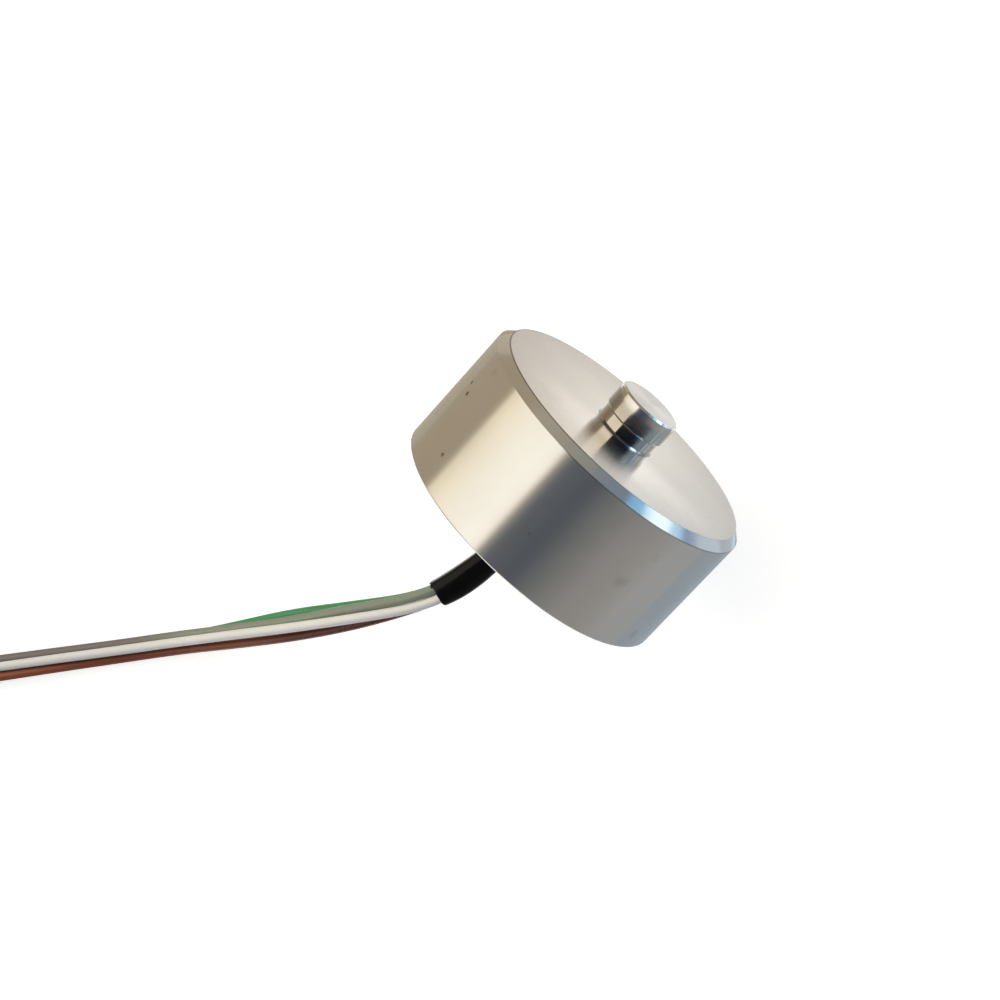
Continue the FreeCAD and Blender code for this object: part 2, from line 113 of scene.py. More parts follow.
class NodeBench:
    """Small helper that adds and joins nodes in one tree."""

    def __init__(self, tree: NodeTree) -> None:
        """Keep the tree that the nodes go into.

        Args:
            tree: a material's, world's or group's node tree.
        """
        self.tree = tree

    def add(self, kind: str, **settings: object) -> Node:
        """Add a node.

        Args:
            kind: the node's type name.
            settings: properties to set on the node.

        Returns:
            The new node.
        """
        node = self.tree.nodes.new(kind)
        for name, value in settings.items():
            setattr(node, name, value)
        return node

    def join(self, output: NodeSocket, target: NodeSocket) -> None:
        """Link an output socket to an input socket."""
        self.tree.links.new(output, target)

    def math(self, operation: str, *inputs: float | NodeSocket) -> NodeSocket:
        """Add a Math node.

        Args:
            operation: the node's operation.
            inputs: numbers or sockets for its inputs, in order.

        Returns:
            The node's result socket.
        """
        node = self.add("ShaderNodeMath", operation=operation)
        for slot, value in zip(node.inputs, inputs):
            if isinstance(value, NodeSocket):
                self.join(value, slot)
            else:
                slot.default_value = value
        return node.outputs[0]

    def length(self, first: NodeSocket, second: NodeSocket) -> NodeSocket:
        """Length of a step from its two parts at right angles."""
        squares = [self.math("POWER", part, 2.0) for part in (first, second)]
        return self.math("SQRT", self.math("ADD", *squares))

    def split(self, vector: NodeSocket) -> Node:
        """Add a node that splits a vector into X, Y and Z.

        Args:
            vector: the vector's socket.

        Returns:
            The new node.
        """
        node = self.add("ShaderNodeSeparateXYZ")
        self.join(vector, node.inputs[0])
        return node

    def span(
        self,
        value: NodeSocket,
        low: float,
        high: float,
        start: float = 0.0,
        end: float = 1.0,
        easing: Easing = Easing.SMOOTH,
    ) -> NodeSocket:
        """Map a value from one range to another.

        Args:
            value: the socket to read.
            low: the value that gives start.
            high: the value that gives end.
            start: the result at low.
            end: the result at high.
            easing: how the result passes from start to end.

        Returns:
            The mapped value's socket.
        """
        node = self.add("ShaderNodeMapRange", interpolation_type=easing.value)
        self.join(value, node.inputs["Value"])
        ends = {"From Min": low, "From Max": high, "To Min": start, "To Max": end}
        for name, number in ends.items():
            node.inputs[name].default_value = number
        return node.outputs["Result"]

    def blend(
        self, factor: NodeSocket, first: Colour | NodeSocket, second: Colour | NodeSocket
    ) -> NodeSocket:
        """Mix two colours.

        Args:
            factor: how much of the second colour shows.
            first: a colour or a colour socket.
            second: a colour or a colour socket.

        Returns:
            The mixed colour's socket.
        """
        node = self.add("ShaderNodeMix", data_type="RGBA")
        self.join(factor, node.inputs["Factor"])
        for name, value in (("A", first), ("B", second)):
            slot = next(s for s in node.inputs if s.name == name and s.type == "RGBA")
            if isinstance(value, NodeSocket):
                self.join(value, slot)
            else:
                slot.default_value = rgba(value)
        return next(s for s in node.outputs if s.type == "RGBA")


def bare_tree(owner: Material | World) -> NodeBench:
    """Give a material or world an empty node tree.

    Args:
        owner: the material or world.

    Returns:
        The helper of its tree.
    """
    owner.use_nodes = True
    owner.node_tree.nodes.clear()
    return NodeBench(owner.node_tree)


@dataclass(frozen=True)
class SharedEffects:
    """Shader effects that several finishes use, each built once as a node group."""

    mottle: NodeTree
    turning: NodeTree
    spot: NodeTree
    CLOUD_DETAIL: ClassVar[float] = 4.0
    CLOUD_ROUGHNESS: ClassVar[float] = 0.6
    LINE_DETAIL: ClassVar[float] = 3.0
    RAGGED_SCALE: ClassVar[float] = 9000.0
    RAGGED_SHARE: ClassVar[float] = 1.2
    SPOT_EDGE: ClassVar[tuple[float, float]] = (0.9, 1.6)

    @classmethod
    def build(cls) -> SharedEffects:
        """Make the groups."""
        return cls(mottle=cls._mottle(), turning=cls._turning(), spot=cls._spot())

    @staticmethod
    def _group(
        name: str, inputs: dict[str, Socket], outputs: dict[str, Socket]
    ) -> tuple[NodeBench, Node, Node]:
        """Start a node group with named sockets.

        Args:
            name: the group's name.
            inputs: input names and kinds.
            outputs: output names and kinds.

        Returns:
            The helper of the group's tree, its input node and its output node.
        """
        tree = bpy.data.node_groups.new(name, "ShaderNodeTree")
        for direction, sockets in (("INPUT", inputs), ("OUTPUT", outputs)):
            for label, kind in sockets.items():
                tree.interface.new_socket(label, in_out=direction, socket_type=kind.value)
        bench = NodeBench(tree)
        return bench, bench.add("NodeGroupInput"), bench.add("NodeGroupOutput")

    @classmethod
    def _mottle(cls) -> NodeTree:
        """Make the cloudy marks left by handling.

        Returns:
            A group that gives the marks as a value from 0 to 1.
        """
        bench, given, made = cls._group(
            "handling_mottle",
            {"Vector": Socket.VECTOR, "Scale": Socket.VALUE, "Contrast": Socket.VALUE},
            {"Mottle": Socket.VALUE},
        )
        cloud = bench.add("ShaderNodeTexNoise")
        cloud.inputs["Detail"].default_value = cls.CLOUD_DETAIL
        cloud.inputs["Roughness"].default_value = cls.CLOUD_ROUGHNESS
        for name in ("Vector", "Scale"):
            bench.join(given.outputs[name], cloud.inputs[name])
        centred = bench.math("SUBTRACT", cloud.outputs["Fac"], 0.5)
        spread = bench.math("MULTIPLY", centred, given.outputs["Contrast"])
        bench.join(bench.math("ADD", spread, 0.5), made.inputs["Mottle"])
        return bench.tree

    @classmethod
    def _turning(cls) -> NodeTree:
        """Make the fine lathe lines round the load axis.

        Returns:
            A group that gives a height from 0 to 1 and the distance from the axis.
        """
        bench, given, made = cls._group(
            "lathe_lines",
            {"Vector": Socket.VECTOR, "Pitch": Socket.VALUE},
            {"Height": Socket.VALUE, "Radius": Socket.VALUE},
        )
        place = bench.split(given.outputs["Vector"])
        radius = bench.length(place.outputs["Y"], place.outputs["Z"])
        along = bench.add("ShaderNodeCombineXYZ")
        for axis, distance in (("X", place.outputs["X"]), ("Y", radius)):
            pitches = bench.math("DIVIDE", distance, given.outputs["Pitch"])
            bench.join(pitches, along.inputs[axis])
        lines = bench.add("ShaderNodeTexNoise", noise_dimensions="2D")
        lines.inputs["Scale"].default_value = 1.0
        lines.inputs["Detail"].default_value = cls.LINE_DETAIL
        bench.join(along.outputs[0], lines.inputs["Vector"])
        bench.join(lines.outputs["Fac"], made.inputs["Height"])
        bench.join(radius, made.inputs["Radius"])
        return bench.tree

    @classmethod
    def _spot(cls) -> NodeTree:
        """Make one small ragged mark round a point.

        Returns:
            A group that gives the mark as a mask from 0 to 1.
        """
        bench, given, made = cls._group(
            "surface_spot",
            {"Vector": Socket.VECTOR, "Centre": Socket.VECTOR, "Radius": Socket.VALUE},
            {"Mark": Socket.VALUE},
        )
        away = bench.add("ShaderNodeVectorMath", operation="DISTANCE")
        bench.join(given.outputs["Vector"], away.inputs[0])
        bench.join(given.outputs["Centre"], away.inputs[1])
        ragged = bench.add("ShaderNodeTexNoise")
        ragged.inputs["Scale"].default_value = cls.RAGGED_SCALE
        bench.join(given.outputs["Vector"], ragged.inputs["Vector"])
        share = bench.math("DIVIDE", away.outputs["Value"], given.outputs["Radius"])
        uneven = bench.math("MULTIPLY", ragged.outputs["Fac"], cls.RAGGED_SHARE)
        share = bench.math("ADD", share, uneven)
        bench.join(bench.span(share, *cls.SPOT_EDGE, 1.0, 0.0), made.inputs["Mark"])
        return bench.tree


class Finish:
    """A material in the making, with the ways to place the shared effects in it."""

    def __init__(self, name: str, effects: SharedEffects) -> None:
        """Start the material.

        Args:
            name: the material's name.
            effects: the shared node groups.
        """
        self.effects = effects
        self.material = bpy.data.materials.new(name)
        self.material.use_nodes = True
        self.bench = NodeBench(self.material.node_tree)
        self.shader = self.material.node_tree.nodes["Principled BSDF"]
        self.place = self.bench.add("ShaderNodeTexCoord").outputs["Object"]

    def set(self, **values: float) -> None:
        """Set plain values on the shader's own sockets, with underscores for spaces."""
        for name, value in values.items():
            self.shader.inputs[name.replace("_", " ")].default_value = value

    def effect(self, group: NodeTree, **values: float | Place) -> Node:
        """Place a shared effect.

        Args:
            group: the effect's node group.
            values: what its inputs beside the place get.

        Returns:
            The effect's node.
        """
        node = self.bench.add("ShaderNodeGroup", node_tree=group)
        self.bench.join(self.place, node.inputs["Vector"])
        for name, value in values.items():
            node.inputs[name].default_value = value
        return node

    def mottle(self, scale: float, contrast: float) -> NodeSocket:
        """Place the handling marks, by their number per metre and their spread."""
        return self.effect(self.effects.mottle, Scale=scale, Contrast=contrast).outputs["Mottle"]

    def turning(self, pitch: float) -> tuple[NodeSocket, NodeSocket]:
        """Place the lathe lines, by their spacing in metres: their height, and the radius."""
        node = self.effect(self.effects.turning, Pitch=pitch)
        return node.outputs["Height"], node.outputs["Radius"]

    def spot(self, centre: Place, radius: float) -> NodeSocket:
        """Place the mask of one small mark, by its middle and radius in metres."""
        return self.effect(self.effects.spot, Centre=centre, Radius=radius).outputs["Mark"]

    def bump(self, height: NodeSocket, strength: float, depth: float) -> None:
        """Feed a height into the shader's normal.

        Args:
            height: the height from 0 to 1.
            strength: the bump's strength.
            depth: what a height of 1 stands for, in metres.
        """
        node = self.bench.add("ShaderNodeBump")
        node.inputs["Strength"].default_value = strength
        node.inputs["Distance"].default_value = depth
        self.bench.join(height, node.inputs["Height"])
        self.bench.join(node.outputs[0], self.shader.inputs["Normal"])


@dataclass(frozen=True)
class PlainFinish:
    """A smooth moulded, drawn or plated surface with slight mottling and bump.

    The colour turns to the second one by the mottling, as wear, or over a stretch of X in
    millimetres, as painted sheen or painted shade.
    """

    name: str
    colour: Colour
    worn_and_painted_light: Colour
    roughness: float
    metallic: float = 0.0
    specular: float = 0.5
    painted_light_fade: tuple[float, float] | None = None
    mottle_scale: float = 900.0
    mottle_contrast: float = 1.6
    rough_shares: tuple[float, float] = (0.85, 1.2)
    bump_fineness: float = 3.0
    bump_contrast: float = 1.0
    bump_depth: float = 4e-6
    bump_strength: float = 0.25

    def material(self, effects: SharedEffects) -> Material:
        """Build the material.

        Args:
            effects: the shared node groups.

        Returns:
            The finished material.
        """
        finish = Finish(self.name, effects)
        bench = finish.bench
        finish.set(Metallic=self.metallic, Specular_IOR_Level=self.specular)
        marks = finish.mottle(self.mottle_scale, self.mottle_contrast)
        share = marks
        # Over this stretch of X the second colour is painted sheen or painted shade.
        if self.painted_light_fade:
            along = bench.split(finish.place).outputs["X"]
            share = bench.span(along, *(place * MM for place in self.painted_light_fade))
        bench.join(bench.blend(share, self.colour, self.worn_and_painted_light), finish.shader.inputs["Base Color"])
        rough_range = (self.roughness * part for part in self.rough_shares)
        rough = bench.span(marks, *MARK_RANGE, *rough_range)
        bench.join(rough, finish.shader.inputs["Roughness"])
        fine = finish.mottle(self.mottle_scale * self.bump_fineness, self.bump_contrast)
        finish.bump(fine, self.bump_strength, self.bump_depth)
        return finish.material


@dataclass(frozen=True)
class SteelZone:
    """How one zone of a turned piece looks."""

    colour: Colour
    dulled: Colour
    roughness: float
    metallic: float


@dataclass(frozen=True)
class WallSpot:
    """A small mark on the wall: millimetres along the axis, degrees from +Z towards +Y."""

    along: float
    angle: float
    radius: float
    depth: float

    def centre(self, wall_radius: float) -> Place:
        """Find the mark's middle.

        Args:
            wall_radius: the wall's radius in millimetres.

        Returns:
            The place in metres.
        """
        turn = math.radians(self.angle)
        across, rise = wall_radius * math.sin(turn), wall_radius * math.cos(turn)
        return (self.along * MM, across * MM, rise * MM)


@dataclass(frozen=True)
class PaintedEdgeLine:
    """A hairline of painted shade, or with a light tone a painted highlight, where two turned
    faces meet, in millimetres along the axis and from it.

    It fades in between the first two places across the axis, and out between the last two.
    The core is the share of its width that has the full depth.
    """

    along: float
    radius: float
    width: float
    depth: float
    shown: tuple[float, float, float, float]
    tone: Colour = DARK_MARK_AND_SHADE
    core: float = 0.4


@dataclass(frozen=True)
class TurnedSteel:
    """Stainless steel as turned: a satin wall, a finely faced end and a polished button."""

    name: str
    wall: SteelZone = SteelZone((0.65, 0.635, 0.6), (0.61, 0.595, 0.56), 0.15, 0.89)
    face: SteelZone = SteelZone((0.59, 0.56, 0.51), (0.57, 0.535, 0.48), 0.29, 1.0)
    rubbed: SteelZone = SteelZone((0.59, 0.56, 0.51), (0.57, 0.535, 0.48), 0.16, 1.0)
    button: SteelZone = SteelZone((0.62, 0.605, 0.575), (0.6, 0.585, 0.55), 0.07, 1.0)
    # The button's top: its steel painted much darker, a painted shade that dims its reflections.
    painted_shade_crown: SteelZone = SteelZone((0.285, 0.273, 0.255), (0.27, 0.258, 0.24), 0.2, 1.0)
    grain: float = 0.85
    grain_turn: float = 0.25
    smudge_scale: float = 420.0
    smudge_contrast: float = 2.0
    spots: tuple[WallSpot, ...] = (
        WallSpot(2.74, 62.6, 0.11, 1.0),
        WallSpot(3.03, 66.2, 0.09, 1.0),
        WallSpot(1.08, 48.0, 0.09, 0.7),
        WallSpot(3.92, 58.0, 0.2, 0.1),
        WallSpot(2.14, -35.5, 0.3, 0.13),
        WallSpot(0.6, -62.0, 0.26, 0.16),
        WallSpot(3.42, -39.0, 0.22, 0.06),
        WallSpot(1.64, 1.5, 0.06, 0.25),
    )
    # Painted shade along the edges between turned faces, left out where the glints fall.
    painted_edge_lines: tuple[PaintedEdgeLine, ...] = (
        PaintedEdgeLine(4.59, 4.7, 0.04, 0.75, (-1.2, 1.2, 9.0, 10.0)),
        PaintedEdgeLine(4.29, 5.0, 0.035, 0.5, (-10.0, -9.0, 0.6, 1.6)),
        PaintedEdgeLine(4.615, 1.055, 0.07, 0.92, (-0.46, -0.36, 0.7, 0.85)),
        PaintedEdgeLine(4.615, 1.055, 0.07, 0.45, (0.7, 0.85, 1.3, 1.4)),
        PaintedEdgeLine(4.615, 1.055, 0.07, 0.6, (-1.4, -1.3, -0.82, -0.7)),
        PaintedEdgeLine(5.02, 1.1, 0.045, 0.9, (-0.46, -0.36, 0.55, 0.7)),
        PaintedEdgeLine(5.02, 1.1, 0.045, 0.7, (-1.4, -1.3, -0.82, -0.7)),
        # Painted highlight on the chamfer round the button's top.
        PaintedEdgeLine(5.83, 1.07, 0.07, 1.0, (-1.0, -0.9, -0.25, -0.1), (0.97, 0.97, 0.97)),
    )
    wall_radius: float = 5.0
    uneven: float = 0.02
    line_pitch: float = 0.02 * MM
    line_depth: float = 0.2e-6
    line_strength: float = 0.3
    face_start: float = 4.57 * MM
    rubbed_radii: tuple[float, float] = (1.6 * MM, 4.2 * MM)
    button_radius: float = 1.14 * MM
    crown_start: float = 5.845 * MM
    step: float = 0.01 * MM

    def material(self, effects: SharedEffects) -> Material:
        """Build the material.

        Args:
            effects: the shared node groups.

        Returns:
            The finished material.
        """
        finish = Finish(self.name, effects)
        bench = finish.bench
        finish.set(Anisotropic=self.grain, Anisotropic_Rotation=self.grain_turn)
        round_axis = bench.add("ShaderNodeTangent", direction_type="RADIAL", axis="X")
        bench.join(round_axis.outputs[0], finish.shader.inputs["Tangent"])
        height, radius = finish.turning(self.line_pitch)
        place = bench.split(finish.place)
        along = place.outputs["X"]
        ahead = bench.span(along, self.face_start, self.face_start + self.step)
        inside = bench.span(radius, self.button_radius, self.button_radius + self.step, 1.0, 0.0)
        centre = bench.math("MULTIPLY", ahead, inside)
        top = bench.span(along, self.crown_start, self.crown_start + self.step)
        near = bench.math("MULTIPLY", ahead, bench.span(radius, *self.rubbed_radii, 1.0, 0.0))
        zones = ((ahead, self.face), (near, self.rubbed), (centre, self.button), (top, self.painted_shade_crown))
        smudge = finish.mottle(self.smudge_scale, self.smudge_contrast)
        metal = bench.blend(smudge, self.wall.colour, self.wall.dulled)
        for mask, zone in zones:
            metal = bench.blend(mask, metal, bench.blend(smudge, zone.colour, zone.dulled))
        for spot in self.spots:
            mark = finish.spot(spot.centre(self.wall_radius), spot.radius * MM)
            metal = bench.blend(bench.math("MULTIPLY", mark, spot.depth), metal, DARK_MARK_AND_SHADE)
        # Paint shade, and one highlight, along the edges.
        for line in self.painted_edge_lines:
            metal = bench.blend(self.paint_edge_light(bench, place, radius, line), metal, line.tone)
        bench.join(metal, finish.shader.inputs["Base Color"])
        satin = self.wall.roughness
        rough = bench.span(smudge, *MARK_RANGE, satin - self.uneven, satin + self.uneven)
        before = self.wall
        for mask, zone in zones:
            step = bench.math("MULTIPLY", mask, zone.roughness - before.roughness)
            rough = bench.math("ADD", rough, step)
            before = zone
        bench.join(rough, finish.shader.inputs["Roughness"])
        shiny = bench.span(ahead, 0.0, 1.0, self.wall.metallic, self.face.metallic)
        bench.join(shiny, finish.shader.inputs["Metallic"])
        finish.bump(height, self.line_strength, self.line_depth)
        return finish.material

    @staticmethod
    def paint_edge_light(bench: NodeBench, place: Node, radius: NodeSocket, line: PaintedEdgeLine) -> NodeSocket:
        """Paint shade, or a highlight, along one edge.

        Args:
            bench: the material's helper.
            place: the node that splits the place on the piece.
            radius: the distance from the load axis.
            line: the edge.

        Returns:
            The mask socket of the painted shade or highlight.
        """
        along = bench.math("SUBTRACT", place.outputs["X"], line.along * MM)
        aside = bench.math("SUBTRACT", radius, line.radius * MM)
        away = bench.length(along, aside)
        mark = bench.span(away, line.width * line.core * MM, line.width * MM, line.depth, 0.0)
        start, full, until, end = (across * MM for across in line.shown)
        shown = bench.span(place.outputs["Y"], start, full)
        hidden = bench.span(place.outputs["Y"], until, end, 1.0, 0.0)
        return bench.math("MULTIPLY", mark, bench.math("MULTIPLY", shown, hidden))


@dataclass
class LeadHarness:
    """The four flying leads: sleeve stem, run over the bench, tied coil and free ends.

    Lengths are in millimetres, and places beside the bundle's middle are in lead pitches. The
    third number along the bench route is the bundle's height as a share of the load axis's. A
    step of the coil says between which degrees of travel the bundle moves, how far out and up.
    """

    body_diameter: float = 10.0
    diameter: float = 0.34
    gap: float = 0.012
    length: float = 150.0
    stem_route: tuple[Place, ...] = (
        (1.2, -0.02, 0.0),
        (-0.9, 0.33, -0.02),
        (-2.88, 0.595, -0.135),
        (-4.47, 1.16, -0.38),
    )
    stem_side: Vector = field(default_factory=lambda: Vector((0.208, 0.978, 0.0)))
    stem_turns: tuple[float, ...] = (0.0, -2.0, -5.0, -7.0)
    bench_route: tuple[Place, ...] = (
        (-6.75, 2.4, 0.68),
        (-9.05, 3.7, 0.47),
        (-11.4, 5.0, 0.24),
        (-13.45, 6.4, 0.075),
        (-15.3, 7.85, 0.0),
        (-17.15, 9.3, 0.0),
        (-19.05, 10.75, 0.0),
        (-20.35, 11.7, 0.0),
    )
    heading: Vector = field(default_factory=lambda: Vector((-0.8, 0.6, 0.0)))
    side: Vector = field(default_factory=lambda: Vector((0.6, 0.8, 0.0)))
    coil_radius: float = 5.2
    coil_start: float = 7.2
    coil_last_run: float = 1.9
    coil_neck_spare: float = 0.2
    coil_full_turns: int = 3
    coil_turn_to_end: float = 126.0
    coil_lift: float = 0.12
    coil_corners: int = 3
    coil_first_corner: float = -5.0
    coil_slack: float = 0.5
    coil_slack_power: int = 4
    coil_steps: tuple[tuple[float, float, float, float], ...] = (
        (310.0, 360.0, -2.0, 0.0),
        (620.0, 665.0, 0.0, 2.0),
        (940.0, 980.0, 2.0, 0.0),
    )
    points_per_turn: int = 30
    tail_stations: tuple[float, ...] = (0.0, 1.3, 3.3, 5.2, 6.6)
    tail_heights: tuple[float, ...] = (1.0, 1.0, 0.6, 0.0, 0.0)
    tail_fans: tuple[float, ...] = (0.0, 0.0, 0.8, 1.1, 1.0)
    stem_places: dict[Lead, tuple[float, float]] = per_lead(
        (0.5, 0.5), (-0.5, 0.5), (0.5, -0.5), (-0.5, -0.5)
    )
    bench_sides: dict[Lead, tuple[float, ...]] = per_lead(
        (0.95, 0.89, 1.3, 1.22, 0.84, 0.77, 0.76, 0.91),
        (0.14, 0.47, 0.95, 0.8, 0.42, 0.3, 0.22, 0.39),
        (0.95, 1.4, 1.24, 0.7, 0.25, -0.13, -0.34, -0.28),
        (-0.95, -0.95, -0.52, -0.5, -0.83, -0.79, -0.84, -0.74),
    )
    bench_heights: dict[Lead, tuple[float, ...]] = per_lead(
        (0.45, 0.37, 0.48, 0.43, 0.3, -0.08, -0.45, -0.42),
        (1.25, 1.34, 1.48, 1.4, 1.22, 0.82, 0.42, 0.5),
        (-0.6, -0.6, -0.62, -0.52, -0.5, -0.5, -0.5, -0.4),
        (-0.6, -0.55, -0.5, -0.5, -0.3, 0.3, 0.4, 0.5),
    )
    coil_places: dict[Lead, tuple[float, float]] = per_lead(
        (0.5, -0.5), (0.5, 0.5), (-0.5, -0.5), (-0.5, 0.5)
    )
    tail_spread: dict[Lead, float] = per_lead(1.3, 3.0, -1.3, -3.0)

    @property
    def pitch(self) -> float:
        """Spacing of neighbouring leads."""
        return self.diameter + self.gap

    @property
    def bench(self) -> float:
        """Height of the bench under the load axis."""
        return -self.body_diameter / 2

    @property
    def coil_middle(self) -> Vector:
        """Find the middle of the coil.

        Returns:
            The place on the bench in millimetres.
        """
        x, y, _ = self.bench_route[-1]
        touch = Vector((x, y, self.bench)) + self.heading * self.coil_start
        return touch - self.side * (self.coil_radius + self.pitch)

    @property
    def coil_neck(self) -> float:
        """Straight stretch between the bench run and the first turn."""
        return 2 * math.sqrt(self.pitch * (self.coil_radius + self.pitch)) + self.coil_neck_spare

    @property
    def coil_travel(self) -> float:
        """Degrees that a lead travels in the coil."""
        return FULL_TURN * self.coil_full_turns + self.coil_turn_to_end

    def bearing(self, travel: float) -> float:
        """Direction from the coil's middle after some degrees of travel, in radians."""
        return math.atan2(self.side.y, self.side.x) + math.radians(travel)

    def stem_points(self, lead: Lead) -> list[Vector]:
        """Lay one lead through the sleeve.

        Args:
            lead: which lead.

        Returns:
            Its control points there, in millimetres.
        """
        out, rise = self.stem_places[lead]
        points = []
        for point, turn in zip(self.stem_route, self.stem_turns):
            cos, sin = math.cos(math.radians(turn)), math.sin(math.radians(turn))
            offset = self.stem_side * (out * cos - rise * sin) + UP * (out * sin + rise * cos)
            points.append(Vector(point) + offset * self.pitch)
        return points

    def run_points(self, lead: Lead) -> list[Vector]:
        """Lay one lead down to the bench and along it to the coil.

        Args:
            lead: which lead.

        Returns:
            Its control points there, in millimetres.
        """
        points = []
        stations = zip(self.bench_route, self.bench_sides[lead], self.bench_heights[lead])
        for (x, y, share), side, rise in stations:
            height = self.bench + self.pitch * (1 + rise) + share * self.body_diameter / 2
            points.append(Vector((x, y, height)) + self.side * (side * self.pitch))
        entry = self.coil_place(lead, 0.0) - self.heading * self.coil_neck
        return points + [entry - self.heading * self.coil_last_run, entry]

    def layer(self, travel: float) -> tuple[float, float]:
        """Place of the bundle in the coil's section after some travel.

        Args:
            travel: degrees travelled from the coil's start.

        Returns:
            Outward and upward place in lead pitches, from the coil's mean radius and underside.
        """
        out, rise = 1.0, 1.0
        for start, end, step_out, step_rise in self.coil_steps:
            share = min(max((travel - start) / (end - start), 0.0), 1.0)
            share = share * share * (3 - 2 * share)
            out += step_out * share
            rise += step_rise * share
        return out, rise

    def coil_place(self, lead: Lead, travel: float, widen: float = 1.0) -> Vector:
        """Place of one lead in the coil, which is drawn in between its soft corners.

        Args:
            lead: which lead.
            travel: degrees travelled from the coil's start.
            widen: factor on the radius for the corners of a curve's control points.

        Returns:
            The place in millimetres.
        """
        out, rise = self.layer(travel)
        place_out, place_rise = self.coil_places[lead]
        angle = self.bearing(travel)
        past_corner = math.radians((travel - self.coil_first_corner) * self.coil_corners / 2)
        slack = self.coil_slack * math.sin(past_corner) ** self.coil_slack_power
        radius = (self.coil_radius - slack + (out + place_out) * self.pitch) * widen
        height = self.coil_lift + (rise + place_rise) * self.pitch
        away = Vector((radius * math.cos(angle), radius * math.sin(angle), height))
        return self.coil_middle + away

    def coil_points(self, lead: Lead) -> list[Vector]:
        """Lay one lead round the coil.

        Args:
            lead: which lead.

        Returns:
            Its control points there, the corners of a polygon round each turn, in millimetres.
        """
        count = round(self.coil_travel / FULL_TURN * self.points_per_turn)
        step = self.coil_travel / count
        widen = 1 / math.cos(math.radians(step / 2))
        return [self.coil_place(lead, (i + 0.5) * step, widen) for i in range(count)]

    def tail_points(self, lead: Lead) -> list[Vector]:
        """Lay one free end from the coil's top layer down to the bench.

        Args:
            lead: which lead.

        Returns:
            Its control points there, in millimetres.
        """
        angle = self.bearing(self.coil_travel)
        outward = Vector((math.cos(angle), math.sin(angle), 0.0))
        heading = Vector((-math.sin(angle), math.cos(angle), 0.0))
        start = self.coil_place(lead, self.coil_travel) + heading * self.coil_neck
        low = self.bench + self.diameter / 2
        drop = start.z - low
        fan = (self.tail_spread[lead] - self.coil_places[lead][0]) * self.pitch
        return [
            start + heading * along + outward * (fan * spread) - UP * (drop * (1 - height))
            for along, height, spread in zip(self.tail_stations, self.tail_heights, self.tail_fans)
        ]

    def route(self, lead: Lead) -> list[Vector]:
        """All control points of one lead, in metres."""
        stretches = (self.stem_points, self.run_points, self.coil_points, self.tail_points)
        return [point * MM for stretch in stretches for point in stretch(lead)]

    def build(self, lead: Lead, material: Material) -> Object:
        """Args:
            lead: which lead.
            material: its insulation.

        Returns:
            The cord's curve object.
        """
        points = self.route(lead)
        cord = smooth_curve(lead.value + "_cord", points, self.diameter / 2 * MM)
        cord.data.materials.append(material)
        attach(cord, BODY)
        nodes = [lead.value] + (["lead_coil"] if lead is Lead.WHITE else [])
        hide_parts(*nodes)
        return cord


def smooth_curve(name: str, points: list[Vector], radius: float) -> Object:
    """Make a round cord on a smooth line.

    Args:
        name: the object's name.
        points: the line's control points in metres.
        radius: the cord's radius in metres.

    Returns:
        The curve object.
    """
    curve = bpy.data.curves.new(name, "CURVE")
    curve.dimensions = "3D"
    curve.bevel_depth = radius
    curve.bevel_resolution = CORD_ROUNDNESS
    curve.resolution_u = CURVE_STEPS
    curve.use_fill_caps = True
    spline = curve.splines.new("NURBS")
    spline.points.add(len(points) - 1)
    for slot, point in zip(spline.points, points):
        slot.co = (*point, 1.0)
    spline.order_u = CURVE_ORDER
    spline.use_endpoint_u = True
    spline.use_smooth = True
    made = bpy.data.objects.new(name, curve)
    bpy.context.scene.collection.objects.link(made)
    return made


